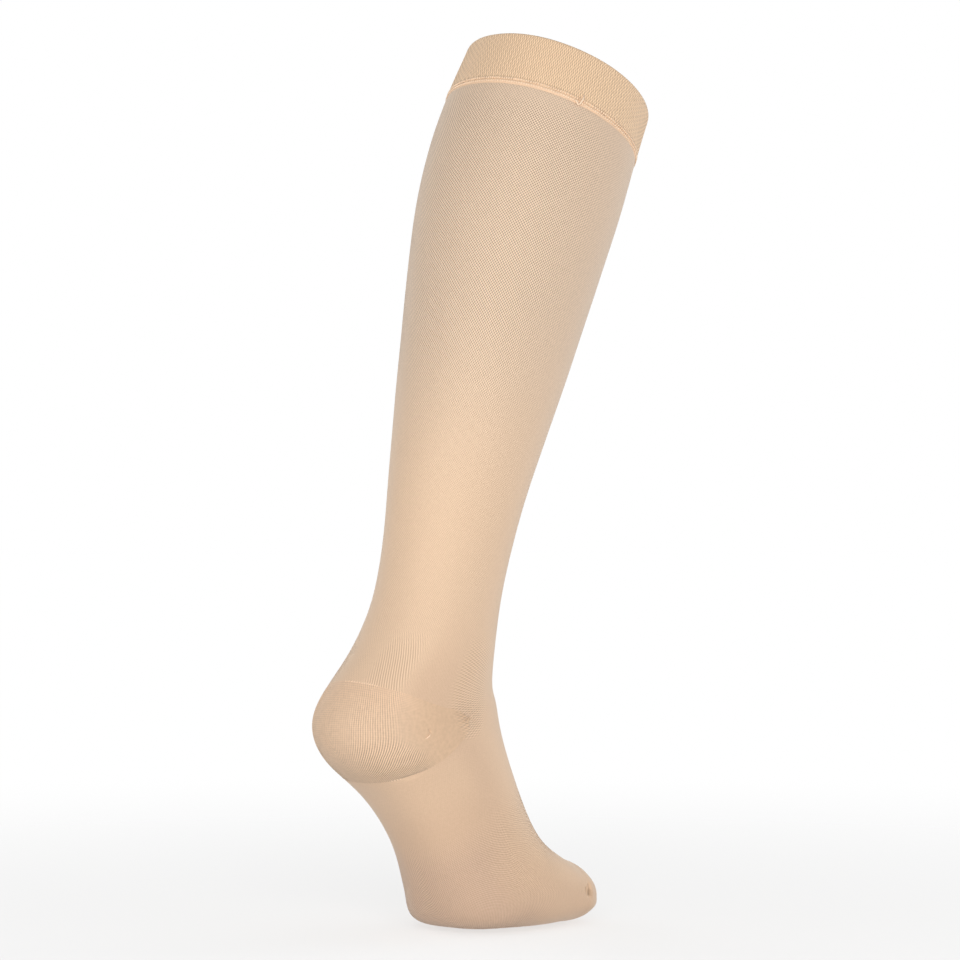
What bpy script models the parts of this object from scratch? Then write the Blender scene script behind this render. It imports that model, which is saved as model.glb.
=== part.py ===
"""Below-knee compression stocking with a closed toe, filled out as on a leg that stands on tiptoe.

The stocking is a tube lofted through rings. Each ring lies in a plane that is square to the
tube's middle line and leans in the side view only, so left and right are alike. The tube is
parted into the pieces a knitter makes: the double band at the top, the leg, the heel pocket,
and the foot, with a linking seam under the band and another that closes the toe.

The origin is the middle of the band's opening, where the leg goes in. The toes point to -Y,
the heel to +Y, and +Z is up. Distances are in metres.
"""

from collections import namedtuple
import math

import bmesh
import bpy
import numpy as np

MM = 0.001

# One row for each ring, from the opening to the toe, in millimetres and degrees.
# along: station on the tube's middle line. forward, up: the ring's middle, from the origin.
# lean: how far the ring's axis tips towards the toes. depth: back to front. width: side to side.
# back, front: how square each half of the ring is, where 2 is an ellipse.
Ring = namedtuple("Ring", "name along forward up lean depth width back front")
RINGS = (
    Ring("rim", 0, 0, 0, 26.5, 117, 106, 2.1, 2.1),
    Ring("band_foot", 28, -14, -26.5, 25, 117.5, 111, 2.1, 2.1),
    Ring("calf_top", 80, -34.5, -73, 21.5, 116.5, 111, 2.1, 2.1),
    Ring("calf", 140, -53.5, -129, 19, 106.5, 100, 2.1, 2.1),
    Ring("calf_low", 200, -72, -188.5, 16.5, 92, 86, 2.1, 2.1),
    Ring("shin", 260, -89.5, -247, 14.5, 78.5, 71, 2.1, 2.1),
    Ring("ankle", 310, -102, -296, 11, 73.5, 65, 2.2, 2.15),
    Ring("above_heel", 345, -115.5, -328, 3, 90, 69.5, 2.25, 2.15),
    Ring("heel_top", 370, -129, -352.5, -7, 116.5, 74, 2.35, 2.15),
    Ring("heel_point", 390, -124, -369, -16, 113.5, 75, 2.35, 2.15),
    Ring("heel_sole", 410, -109, -386.5, -24.5, 92.5, 71, 2.4, 2.15),
    Ring("arch", 440, -87, -419.5, -36, 80.5, 67.5, 2.4, 2.15),
    Ring("instep", 475, -74.5, -447.5, -46.5, 82.5, 78.5, 2.8, 2.15),
    Ring("ball", 510, -55, -458.5, -55.5, 60, 89.5, 3.7, 2.2),
    Ring("toe_root", 546, -19, -465.5, -81.5, 37, 81.5, 3.0, 2.2),
)
RING = {ring.name: ring for ring in RINGS}
TOE_DOME = 25.0  # length of the rounded toe past the last ring
TOE_BLUNTNESS = 0.7  # below 1 the toe stays deep until close to its tip

# The heel pocket is a lens on the tube's back, from one ankle side round to the other.
POCKET_STATION = 384.0  # where its two corners lie along the tube
POCKET_CORNER = 99.0  # angle of a corner from the middle of the back
# station: the edge's place on the middle of the back. rise, ease: exponents of its curve.
PocketEdge = namedtuple("PocketEdge", "station rise ease")
POCKET_TOP = PocketEdge(356.0, 2.0, 0.6)
POCKET_SOLE = PocketEdge(401.5, 6.0, 0.5)

# Walls and seams, in millimetres.
KNIT_WALL = 1.0
POCKET_WALL = 1.2
BAND_WALL = 2.0  # two layers of the turned welt
BAND_PROUD = 0.3  # how far the double band stands out from the leg
BAND_FOLD = 0.7  # rounding of the fold at the opening
FOLD_ANGLE = 50.0  # edges of the band that turn more than this are rounded
SEAM_GAP = 0.3
BAND_SEAM_WIDTH = 2.6
BAND_SEAM_HEIGHT = 1.0
TOE_SEAM_WIDTH = 1.8
TOE_SEAM_HEIGHT = 1.0
TOE_SEAM_START = 544.0  # station where the toe seam begins on each side
TOE_SEAM_END = 0.96  # share of the way to the toe's tip where its two halves turn to meet

# Mesh steps.
BACK_STEPS = 11  # from the middle of the back to a pocket corner
FRONT_STEPS = 9  # from a pocket corner to the middle of the front
BAND_ROWS = 4
LEG_ROWS = 30
POCKET_ROWS = 10
FOOT_ROWS = 15
DOME_ROWS = 6
TOE_SEAM_STEPS = 8  # closer together towards the toe's tip
SEAM_SIDES = 8
MERGE_DISTANCE = 0.01

STOCKING_BEIGE = (0.78, 0.57, 0.39)
HEEL_BEIGE = (0.77, 0.55, 0.37)
BAND_BEIGE = (0.79, 0.56, 0.36)
SEAM_CREAM = (0.86, 0.67, 0.46)


def natural_spline(stations, values):
    """A natural cubic through the values, as a function of the station."""
    step = np.diff(stations)
    slope = np.diff(values) / step
    system = np.eye(len(stations))
    pull = np.zeros(len(stations))
    for i in range(1, len(stations) - 1):
        system[i, i - 1 : i + 2] = step[i - 1], 2 * (step[i - 1] + step[i]), step[i]
        pull[i] = 6 * (slope[i] - slope[i - 1])
    bend = np.linalg.solve(system, pull)

    def value_at(station):
        i = int(np.clip(np.searchsorted(stations, station) - 1, 0, len(step) - 1))
        before = station - stations[i]
        after = stations[i + 1] - station
        cubic = (bend[i] * after**3 + bend[i + 1] * before**3) / (6 * step[i])
        start = (values[i] / step[i] - bend[i] * step[i] / 6) * after
        finish = (values[i + 1] / step[i] - bend[i + 1] * step[i] / 6) * before
        return cubic + start + finish

    return value_at


STATIONS = np.array([ring.along for ring in RINGS], float)
LAST_STATION = STATIONS[-1]
SPLINES = {
    column: natural_spline(STATIONS, np.array([getattr(ring, column) for ring in RINGS], float))
    for column in Ring._fields[2:]
}


def ring_at(along):
    """The ring at any station, with the toe's dome drawing in past the last one."""
    station = min(along, LAST_STATION)
    ring = {column: spline(station) for column, spline in SPLINES.items()}
    turn = min(max((along - LAST_STATION) / TOE_DOME, 0), 1) * math.pi / 2
    lean = math.radians(ring["lean"])
    ring["forward"] -= TOE_DOME * math.sin(turn) * math.sin(lean)
    ring["up"] -= TOE_DOME * math.sin(turn) * math.cos(lean)
    ring["depth"] *= max(math.cos(turn), 0) ** TOE_BLUNTNESS
    ring["width"] *= math.cos(turn)
    return ring


def signed_power(value, power):
    return math.copysign(abs(value) ** power, value)


def surface_point(along, angle):
    """A point of the tube's outside. The angle is in degrees: 0 at the back, 90 at +X."""
    ring = ring_at(along)
    across, behind = math.sin(math.radians(angle)), math.cos(math.radians(angle))
    power = 2 / (ring["back"] if behind > 0 else ring["front"])
    side = ring["width"] / 2 * signed_power(across, power)
    back = ring["depth"] / 2 * signed_power(behind, power)
    lean = math.radians(ring["lean"])
    forward = ring["forward"] - back * math.cos(lean)
    up = ring["up"] + back * math.sin(lean)
    return np.array([side, -forward, up]) * MM


def surface_normal(along, angle):
    """The outward direction of the tube at a point."""
    reach_along, reach_angle = 0.5, 1.0
    along = min(along, LAST_STATION + TOE_DOME - 2 * reach_along)
    down = surface_point(along + reach_along, angle) - surface_point(along - reach_along, angle)
    round_it = surface_point(along, angle + reach_angle) - surface_point(along, angle - reach_angle)
    normal = np.cross(round_it, down)
    return normal / np.linalg.norm(normal)


def point_off_surface(along, angle, out):
    """A point that lies a distance off the tube's outside, in millimetres."""
    return surface_point(along, angle) + surface_normal(along, angle) * out * MM


def pocket_edge(edge, angle):
    """The station of one edge of the heel pocket, which ends at the corners."""
    share = min(abs(angle) / POCKET_CORNER, 1)
    bulge = (1 - share**edge.rise) ** edge.ease
    return POCKET_STATION + (edge.station - POCKET_STATION) * bulge


def millimetre_along(along, angle):
    """How far the station moves for one millimetre on the surface."""
    return 2 / (np.linalg.norm(surface_point(along + 1, angle) - surface_point(along - 1, angle)) / MM)


def angles_round():
    """Angles of one whole turn, with a point on each pocket corner."""
    back = [POCKET_CORNER * i / BACK_STEPS for i in range(BACK_STEPS)]
    rest = 180 - POCKET_CORNER
    front = [POCKET_CORNER + rest * i / FRONT_STEPS for i in range(FRONT_STEPS)]
    right = back + front
    left = [-angle for angle in reversed(right[1:])]
    return right + [180.0] + left


def material(name, color, roughness):
    made = bpy.data.materials.new(name)
    made.use_nodes = True
    shader = made.node_tree.nodes["Principled BSDF"]
    shader.inputs["Base Color"].default_value = (*color, 1)
    shader.inputs["Roughness"].default_value = roughness
    shader.inputs["Metallic"].default_value = 0
    return made


def object_from(name, work, collection, finish):
    """Turns a bmesh into a named object with smooth shading."""
    mesh = bpy.data.meshes.new(name)
    work.to_mesh(mesh)
    work.free()
    mesh.shade_smooth()
    mesh.materials.append(finish)
    made = bpy.data.objects.new(name, mesh)
    collection.objects.link(made)
    return made


def loft(rows, closed):
    """A bmesh sheet that faces out, through rows of points. Closed rows join their ends."""
    work = bmesh.new()
    lines = [[work.verts.new(point) for point in row] for row in rows]
    for upper, lower in zip(lines, lines[1:]):
        count = len(upper) if closed else len(upper) - 1
        for i in range(count):
            j = (i + 1) % len(upper)
            work.faces.new((upper[i], upper[j], lower[j], lower[i]))
    bmesh.ops.remove_doubles(work, verts=work.verts, dist=MERGE_DISTANCE * MM)
    bmesh.ops.dissolve_degenerate(work, edges=work.edges, dist=MERGE_DISTANCE * MM)
    return work


def knit_wall(made, wall):
    """Gives an open sheet its thickness, inwards from its outside."""
    thickness = made.modifiers.new("Knit thickness", "SOLIDIFY")
    thickness.thickness = wall * MM
    thickness.offset = -1
    thickness.use_even_offset = True
    thickness.use_quality_normals = True


def tube_rows(start_of, end_of, count, angles, out=0.0):
    """Rows of points between two edges, each given as a station for every angle."""
    rows = []
    for row in range(count + 1):
        share = row / count
        stations = [start_of(angle) * (1 - share) + end_of(angle) * share for angle in angles]
        rows.append([point_off_surface(s, a, out) for s, a in zip(stations, angles)])
    return rows


def seam_cord(path, width, height, lift, closed):
    """A low rounded cord along a path of stations and angles, lifted off the tube."""
    middle = np.array([point_off_surface(s, a, lift + height / 2) for s, a in path])
    normals = [surface_normal(s, a) for s, a in path]
    if closed:
        ahead = np.roll(middle, -1, axis=0) - np.roll(middle, 1, axis=0)
    else:
        ahead = np.gradient(middle, axis=0)
    rows = []
    for point, normal, run in zip(middle, normals, ahead):
        across = np.cross(normal, run)
        across /= np.linalg.norm(across)
        turns = [2 * math.pi * i / SEAM_SIDES for i in range(SEAM_SIDES)]
        wide, high = width / 2 * MM, height / 2 * MM
        rows.append([point + across * wide * math.cos(t) + normal * high * math.sin(t) for t in turns])
    if closed:
        rows.append(rows[0])
    work = loft(rows, closed=True)
    bmesh.ops.holes_fill(work, edges=work.edges, sides=SEAM_SIDES)
    bmesh.ops.recalc_face_normals(work, faces=work.faces)
    return work


def make_top_band(collection, finish):
    """The double welt, whose fold is the rounded rim of the opening."""
    foot = RING["band_foot"].along - SEAM_GAP / 2
    rows = tube_rows(lambda a: 0, lambda a: foot, BAND_ROWS, angles_round(), BAND_PROUD)
    band = object_from("top_band", loft(rows, closed=True), collection, finish)
    knit_wall(band, BAND_WALL)
    fold = band.modifiers.new("Fold", "BEVEL")
    fold.width = BAND_FOLD * MM
    fold.segments = 2
    fold.limit_method = "ANGLE"
    fold.angle_limit = math.radians(FOLD_ANGLE)


def make_band_seam(collection, finish):
    """The raised linking seam that lies over the joint of band and leg."""
    path = [(RING["band_foot"].along, angle) for angle in angles_round()]
    lift = BAND_PROUD + SEAM_GAP
    work = seam_cord(path, BAND_SEAM_WIDTH, BAND_SEAM_HEIGHT, lift, closed=True)
    object_from("band_seam", work, collection, finish)


def make_leg(collection, finish):
    """The seamless tube from the band to the pocket's upper edge and over the instep."""
    start = RING["band_foot"].along + SEAM_GAP / 2
    rows = tube_rows(lambda a: start, lambda a: pocket_edge(POCKET_TOP, a), LEG_ROWS, angles_round())
    leg = object_from("leg", loft(rows, closed=True), collection, finish)
    knit_wall(leg, KNIT_WALL)


def make_heel(collection, finish):
    """The heel pocket, smaller than its hole in the tube by the seam gap all round."""
    corner_radius = RING["heel_point"].width / 2
    shrink = 1 - math.degrees(SEAM_GAP / corner_radius) / POCKET_CORNER
    angles = [POCKET_CORNER * i / BACK_STEPS for i in range(-BACK_STEPS, BACK_STEPS + 1)]

    def inside(edge, towards_middle):
        def station(angle):
            at = pocket_edge(edge, angle)
            return at + towards_middle * SEAM_GAP * millimetre_along(at, angle)

        return station

    upper, lower = inside(POCKET_TOP, 1), inside(POCKET_SOLE, -1)
    rows = []
    for row in range(POCKET_ROWS + 1):
        share = row / POCKET_ROWS
        line = []
        for angle in angles:
            if abs(angle) < POCKET_CORNER:
                station = upper(angle) * (1 - share) + lower(angle) * share
            else:
                station = POCKET_STATION
            line.append(surface_point(station, angle * shrink))
        rows.append(line)
    heel = object_from("heel", loft(rows, closed=False), collection, finish)
    knit_wall(heel, POCKET_WALL)


def make_foot(collection, finish):
    """The tube from the pocket's lower edge and the instep to the rounded toe."""

    def start(angle):
        if abs(angle) < POCKET_CORNER:
            return pocket_edge(POCKET_SOLE, angle)
        return POCKET_STATION + SEAM_GAP * millimetre_along(POCKET_STATION, angle)

    angles = angles_round()
    rows = tube_rows(start, lambda a: LAST_STATION, FOOT_ROWS, angles)
    tip = LAST_STATION + TOE_DOME
    dome = tube_rows(lambda a: LAST_STATION, lambda a: tip, DOME_ROWS, angles)
    foot = object_from("foot", loft(rows + dome[1:], closed=True), collection, finish)
    knit_wall(foot, KNIT_WALL)


def make_toe_seam(collection, finish):
    """The linking seam that closes the toe, from side to side round its front."""
    tip = LAST_STATION + TOE_DOME
    turns = [math.pi / 2 * step / (TOE_SEAM_STEPS - 1) for step in range(TOE_SEAM_STEPS)]
    stations = [TOE_SEAM_START + (tip - TOE_SEAM_START) * TOE_SEAM_END * math.sin(turn) for turn in turns]
    path = [(s, -90) for s in stations] + [(s, 90) for s in reversed(stations)]
    work = seam_cord(path, TOE_SEAM_WIDTH, TOE_SEAM_HEIGHT, SEAM_GAP, closed=False)
    object_from("toe_seam", work, collection, finish)


def main():
    for old in list(bpy.data.objects):
        bpy.data.objects.remove(old, do_unlink=True)
    collection = bpy.data.collections.new("Compression stocking")
    bpy.context.scene.collection.children.link(collection)
    knit = material("stocking knit", STOCKING_BEIGE, 0.8)
    heel_knit = material("heel knit", HEEL_BEIGE, 0.85)
    band_knit = material("band knit", BAND_BEIGE, 0.8)
    thread = material("linking thread", SEAM_CREAM, 0.7)
    make_top_band(collection, band_knit)
    make_band_seam(collection, thread)
    make_leg(collection, knit)
    make_heel(collection, heel_knit)
    make_foot(collection, knit)
    make_toe_seam(collection, thread)


main()
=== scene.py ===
"""Looks of a below-knee compression stocking: knitted shells, stitched seams and a pale studio.

The stocking is a tube lofted through rings, as in the CAD. Every shell here is a grid that is
laid on that tube, so a point is named by its station along the tube and its angle round it:
0 at the middle of the back, 90 at +X, 180 at the front. Stations and sizes are in millimetres.
"""

from collections import namedtuple
import math

import bmesh
import bpy
from bpy.props import FloatProperty, FloatVectorProperty, IntProperty, PointerProperty
from mathutils import Matrix, Vector
import numpy as np


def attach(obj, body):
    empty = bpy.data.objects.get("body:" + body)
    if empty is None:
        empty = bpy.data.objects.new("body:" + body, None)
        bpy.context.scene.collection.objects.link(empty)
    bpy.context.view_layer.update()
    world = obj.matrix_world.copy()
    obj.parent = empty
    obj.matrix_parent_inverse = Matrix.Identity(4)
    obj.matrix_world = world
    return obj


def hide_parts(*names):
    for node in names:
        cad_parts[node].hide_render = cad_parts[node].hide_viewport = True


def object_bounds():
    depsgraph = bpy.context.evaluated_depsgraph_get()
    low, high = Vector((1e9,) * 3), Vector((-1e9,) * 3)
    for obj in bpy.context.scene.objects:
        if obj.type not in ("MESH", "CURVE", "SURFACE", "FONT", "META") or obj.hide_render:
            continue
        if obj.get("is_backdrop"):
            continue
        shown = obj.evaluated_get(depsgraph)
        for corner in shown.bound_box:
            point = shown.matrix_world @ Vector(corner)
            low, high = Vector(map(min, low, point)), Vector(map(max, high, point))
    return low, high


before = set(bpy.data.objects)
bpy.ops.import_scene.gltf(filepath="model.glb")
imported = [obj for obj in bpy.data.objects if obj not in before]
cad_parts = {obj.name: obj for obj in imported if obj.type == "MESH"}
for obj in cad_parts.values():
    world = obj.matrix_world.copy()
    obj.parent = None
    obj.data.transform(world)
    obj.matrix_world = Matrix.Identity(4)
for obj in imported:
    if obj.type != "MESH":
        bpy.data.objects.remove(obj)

bl_info = {
    "name": "Compression Stocking",
    "version": (1, 0, 0),
    "blender": (4, 5, 0),
    "location": "View3D > Sidebar > Stocking",
    "description": "Knits a worn compression stocking over its frame and lights it",
    "category": "Object",
}

MM = 0.001

# ---------------------------------------------------------------------------------------------
# The tube

# along: station. forward, up: the ring's middle. lean: tip of the ring's axis towards the toes.
# depth, width: back to front and side to side. back, front: squareness, where 2 is an ellipse.
Ring = namedtuple("Ring", "name along forward up lean depth width back front")
RINGS = (
    Ring("rim", 0, 0, 0, 26.5, 117, 106, 2.1, 2.1),
    Ring("band_foot", 28, -14, -26.5, 25, 117.5, 111, 2.1, 2.1),
    Ring("calf_top", 80, -34.5, -73, 21.5, 116.5, 111, 2.1, 2.1),
    Ring("calf", 140, -53.5, -129, 19, 106.5, 100, 2.1, 2.1),
    Ring("calf_low", 200, -72, -188.5, 16.5, 92, 86, 2.1, 2.1),
    Ring("shin", 260, -89.5, -247, 14.5, 78.5, 71, 2.1, 2.1),
    Ring("ankle", 310, -102, -296, 11, 73.5, 65, 2.2, 2.15),
    Ring("above_heel", 345, -115.5, -328, 3, 90, 69.5, 2.25, 2.15),
    Ring("heel_top", 370, -129, -352.5, -7, 116.5, 74, 2.35, 2.15),
    Ring("heel_point", 390, -124, -369, -16, 113.5, 75, 2.35, 2.15),
    Ring("heel_sole", 410, -109, -386.5, -24.5, 92.5, 71, 2.4, 2.15),
    Ring("arch", 440, -87, -419.5, -36, 80.5, 67.5, 2.4, 2.15),
    Ring("instep", 475, -74.5, -447.5, -46.5, 82.5, 78.5, 2.8, 2.15),
    Ring("ball", 510, -55, -458.5, -55.5, 60, 89.5, 3.7, 2.2),
    Ring("toe_root", 546, -19, -465.5, -81.5, 37, 81.5, 3.0, 2.2),
)
RING = {ring.name: ring for ring in RINGS}
TOE_DOME = 25.0
TOE_BLUNTNESS = 0.7
TOE_TIP = RING["toe_root"].along + TOE_DOME

POCKET_STATION = 384.0
POCKET_CORNER = 99.0
PocketEdge = namedtuple("PocketEdge", "station rise ease")
POCKET_TOP = PocketEdge(356.0, 2.0, 0.6)
POCKET_SOLE = PocketEdge(401.5, 6.0, 0.5)

SEAM_STATION = RING["band_foot"].along
BAND_PROUD = 0.3
BAND_WALL = 2.0
TOE_SEAM_START = 545.8
ROOT_RADIUS = 3.5

# Stitch counts and sizes of the knit.
WALES_ROUND = 400
COURSE = 0.92
BAND_STITCHES = 3  # stitch columns in one rib of the band
BAND_COURSE = 1.4
BAND_FURROW_ROW = 1.8  # how far above its seam the band's furrow runs, with a dotted row of painted shade along it
POCKET_COURSE = 0.8
POCKET_HEIGHT = 45.0
# The heel's ribs stand upright at this share of the way down, and sweep to the middle from there.
SWEEP_LEVEL = 0.35
SWEEP_ABOVE = 10.0
SWEEP_BELOW = 50.0
SWEEP_POWER = 2.6
# The share of the heel's ribs that is lost below a level, so that the rest lie wider apart.
RIB_SPREAD = 0.2
SPREAD_LEVEL = 0.7
# Half waves per wale and per course in the net at the heel pocket's corners.
CORNER_NET = Vector((0.4, 1.1))
KNOT_ANGLE = 74.2  # where the end of the heel's thread dips into the cloth

MERGE_DISTANCE = 0.01
FLOOR_MIDDLE = (0.0, 0.09, 0.0)
FLOOR_GAP = 0.0003


def natural_spline(stations, values):
    """A natural cubic through the values, as a function of an array of stations."""
    step = np.diff(stations)
    slope = np.diff(values) / step
    system = np.eye(len(stations))
    pull = np.zeros(len(stations))
    for i in range(1, len(stations) - 1):
        system[i, i - 1 : i + 2] = step[i - 1], 2 * (step[i - 1] + step[i]), step[i]
        pull[i] = 6 * (slope[i] - slope[i - 1])
    bend = np.linalg.solve(system, pull)

    def value_at(station):
        i = np.clip(np.searchsorted(stations, station) - 1, 0, len(step) - 1)
        before = station - stations[i]
        after = stations[i + 1] - station
        cubic = (bend[i] * after**3 + bend[i + 1] * before**3) / (6 * step[i])
        start = (values[i] / step[i] - bend[i] * step[i] / 6) * after
        finish = (values[i + 1] / step[i] - bend[i + 1] * step[i] / 6) * before
        return cubic + start + finish

    return value_at


STATIONS = np.array([ring.along for ring in RINGS], float)
SPLINES = {
    column: natural_spline(STATIONS, np.array([getattr(ring, column) for ring in RINGS], float))
    for column in Ring._fields[2:]
}


def rings_at(along):
    """The rings at an array of stations, with the toe's dome, which loses its corners, past the last."""
    station = np.minimum(along, STATIONS[-1])
    ring = {column: spline(station) for column, spline in SPLINES.items()}
    turn = np.clip((along - STATIONS[-1]) / TOE_DOME, 0, 1) * math.pi / 2
    lean = np.radians(ring["lean"])
    ring["forward"] = ring["forward"] - TOE_DOME * np.sin(turn) * np.sin(lean)
    ring["up"] = ring["up"] - TOE_DOME * np.sin(turn) * np.cos(lean)
    ring["depth"] = ring["depth"] * np.maximum(np.cos(turn), 0) ** TOE_BLUNTNESS
    ring["width"] = ring["width"] * np.maximum(np.cos(turn), 0)
    for squareness in ("back", "front"):
        ring[squareness] = between(2, ring[squareness], np.cos(turn) ** 2)
    return ring


def signed_power(value, power):
    return np.sign(value) * np.abs(value) ** power


def behind_middle(ring, angle):
    """How far a point lies behind the ring's middle, in millimetres."""
    behind = np.cos(np.radians(angle))
    power = 2 / np.where(behind > 0, ring["back"], ring["front"])
    return ring["depth"] / 2 * signed_power(behind, power)


def skin(along, angle):
    """Points of the tube's outside, one row each, in metres."""
    along, angle = np.broadcast_arrays(np.asarray(along, float), np.asarray(angle, float))
    ring = rings_at(along)
    across, behind = np.sin(np.radians(angle)), np.cos(np.radians(angle))
    power = 2 / np.where(behind > 0, ring["back"], ring["front"])
    side = ring["width"] / 2 * signed_power(across, power)
    back = behind_middle(ring, angle)
    lean = np.radians(ring["lean"])
    forward = ring["forward"] - back * np.cos(lean)
    up = ring["up"] + back * np.sin(lean)
    return np.stack([side, -forward, up], axis=-1) * MM


def skin_normal(along, angle):
    """The tube's outward directions."""
    reach_along, reach_angle = 0.5, 1.0
    along = np.minimum(along, TOE_TIP - 2 * reach_along)
    down = skin(along + reach_along, angle) - skin(along - reach_along, angle)
    round_it = skin(along, angle + reach_angle) - skin(along, angle - reach_angle)
    normal = np.cross(round_it, down)
    return normal / np.linalg.norm(normal, axis=-1, keepdims=True)


def off_skin(along, angle, out):
    """Points that lie a distance off the tube's outside, given in millimetres."""
    return skin(along, angle) + skin_normal(along, angle) * np.asarray(out, float)[..., None] * MM


def to_side(angle):
    """The angle from the middle of the back, as -180 to 180."""
    return (np.asarray(angle, float) + 180) % 360 - 180


def turned(angle):
    """The angle from the middle of the back, 0 to 180 on either side."""
    return np.abs(to_side(angle))


def pocket_edge(edge, angle):
    """The station of one edge of the heel pocket, which ends at the corners."""
    share = np.minimum(turned(angle) / POCKET_CORNER, 1)
    bulge = (1 - share**edge.rise) ** edge.ease
    return POCKET_STATION + (edge.station - POCKET_STATION) * bulge


def rib_sweep(share):
    """How many degrees round the heel a rib has swept to the middle, by its share of the way down."""
    above = np.maximum(SWEEP_LEVEL - share, 0) / SWEEP_LEVEL
    below = np.maximum(share - SWEEP_LEVEL, 0) / (1 - SWEEP_LEVEL)
    return SWEEP_ABOVE * above**2 + SWEEP_BELOW * below**SWEEP_POWER


# ---------------------------------------------------------------------------------------------
# Small shapes of the cloth, as heights over the tube in millimetres


def bump_at(distance, reach):
    """A smooth rise of 1 that fades out over the reach."""
    return np.exp(-((distance / reach) ** 2))


# A place where worn cloth lies in or out of the smooth tube. along, angle: its middle. reach,
# spread: how far it goes in millimetres along and in degrees round. both: the same on each side.
Soft = namedtuple("Soft", "along reach angle spread height both")
SOFT_PLACES = (
    Soft(0, 15, 40, 30, -0.5, False),
    Soft(14, 34, 46, 32, -0.6, False),
    Soft(0, 15, -85, 24, 1.0, False),
    Soft(15, 32, -130, 22, -0.7, False),
    Soft(353, 16, 32, 38, -1.6, True),
    Soft(393, 7, 42, 25, 0.35, True),
    Soft(400, 38, 145, 30, 0.65, True),
    Soft(466, 11, 44, 20, -0.9, False),
    Soft(487, 16, 58, 22, -1.3, False),
    Soft(545, 10, 158, 18, 0.2, True),
    Soft(552, 12, 122, 20, -0.9, True),
    Soft(552, 12, 79, 12, 1.1, True),
    Soft(553, 11, 40, 20, -0.35, True),
)
TIP_FADE = 14.0


def worn(along, angle):
    """The soft places of the worn outline together, which fade out at the toe's tip."""
    height = 0.0
    for soft in SOFT_PLACES:
        across = (turned(angle) if soft.both else to_side(angle)) - soft.angle
        rise = soft.height * bump_at(along - soft.along, soft.reach)
        height = height + rise * bump_at(across, soft.spread)
    tip = np.clip((TOE_TIP - 2 - along) / TIP_FADE, 0, 1)
    return height * tip * tip * (3 - 2 * tip)


def toe_pinch(along, angle):
    """The short upright crease at each end of the toe seam, and the puckers beside it."""
    height = -behind_middle(rings_at(along), angle)  # upwards, because the toes point forward
    past = along - TOE_SEAM_START
    crease = -2.1 * bump_at(past, 1.2) * bump_at(height, 2.0)
    crease = crease - 1.6 * bump_at(past, 0.9) * bump_at(height - 3.0, 2.2)
    second = -0.9 * bump_at(past + 2.9, 0.7) * bump_at(height - 1.2, 2.4)
    lips = 0.3 * (bump_at(past + 1.8, 0.6) + bump_at(past - 1.9, 0.8)) * bump_at(height - 1.2, 3.6)
    before = np.maximum(-past - 3.8, 0)
    ripple = 0.2 * np.sin(2 * math.pi * before / 2.3) * np.exp(-before / 3.5)
    return crease + second + lips + ripple * bump_at(height - 1.6, 3.4)


def toe_root_fill(along, angle):
    """Rounds the bend where the instep meets the toes, because cloth spans the hollow there."""
    root = RING["toe_root"].along
    before = skin(root, angle) - skin(root - 1, angle)
    after = skin(root + 1, angle) - skin(root, angle)
    bend = np.maximum(((after - before) * skin_normal(root + 0 * along, angle)).sum(axis=-1) / MM, 0)
    past = along - root
    return bend / 2 * (np.hypot(past, ROOT_RADIUS) - np.abs(past)) * bump_at(past, 11.0)


def corner_puckers(along, angle):
    """Creases that radiate from each corner of the heel pocket, and a dimple where its thread ends."""
    radius = RING["heel_point"].width / 2
    across = np.radians(turned(angle) - POCKET_CORNER) * radius
    down = along - POCKET_STATION
    reach = np.hypot(across, down)
    spoke = np.arctan2(down, across)
    fade = bump_at(reach, 6.0) * reach / (reach + 1.5)
    seven_creases = 0.4 * np.cos(7 * spoke + 0.6) * fade
    knot = np.hypot(np.radians(turned(angle) - KNOT_ANGLE) * radius, (down + 1.3) / 2)
    return seven_creases - 0.6 * bump_at(reach, 1.2) - 0.8 * bump_at(knot, 0.6)


def pocket_join(along, angle):
    """The shallow groove where the heel pocket joins the tube, with a crease at each side below."""
    inside = np.clip((POCKET_CORNER - turned(angle)) / 8, 0, 1)
    above = bump_at(along - pocket_edge(POCKET_TOP, angle), 0.8)
    below = bump_at(along - pocket_edge(POCKET_SOLE, angle) - 0.3, 0.7)
    side_crease = 0.7 * bump_at(turned(angle) - 44, 9)
    return -(0.02 * above + (0.04 + side_crease) * below) * inside


def band_furrow(along):
    """The furrow that ends the narrow strip of plain knit under the band."""
    return -0.3 * bump_at(along - SEAM_STATION - 2.0, 0.5)


def tension(along, angle):
    """Slow unevenness of a knit that is stretched over a form."""
    a = np.radians(angle)
    slow = np.sin(3 * a + along * 0.021) * np.sin(along * 0.034 + 1.1)
    finer = np.sin(7 * a - along * 0.055 + 0.7) * np.sin(along * 0.071)
    calm = np.clip((along - SEAM_STATION) / 40, 0, 1) * np.clip((TOE_SEAM_START - along) / 30, 0, 1)
    return (0.16 * slow + 0.07 * finer) * calm


def cloth_height(along, angle):
    """All of the cloth's relief, so pieces that meet have the same height along their join."""
    slow = tension(along, angle) + band_furrow(along) + worn(along, angle)
    heel = corner_puckers(along, angle) + pocket_join(along, angle)
    return slow + heel + toe_pinch(along, angle) + toe_root_fill(along, angle)


# ---------------------------------------------------------------------------------------------
# Meshes


def dress(piece, slot, *nodes):
    """Puts a finished piece on the frame in place of its solids."""
    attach(piece, "root")
    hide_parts(*nodes)


def object_from(name, work, finish):
    """Turns the work into a smooth object, with a crease along its open edges."""
    for edge in work.edges:
        edge.smooth = not edge.is_boundary
    mesh = bpy.data.meshes.new(name)
    work.to_mesh(mesh)
    work.free()
    for face in mesh.polygons:
        face.use_smooth = True
    mesh.materials.append(finish)
    made = bpy.data.objects.new(name, mesh)
    bpy.context.scene.collection.objects.link(made)
    return made


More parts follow.
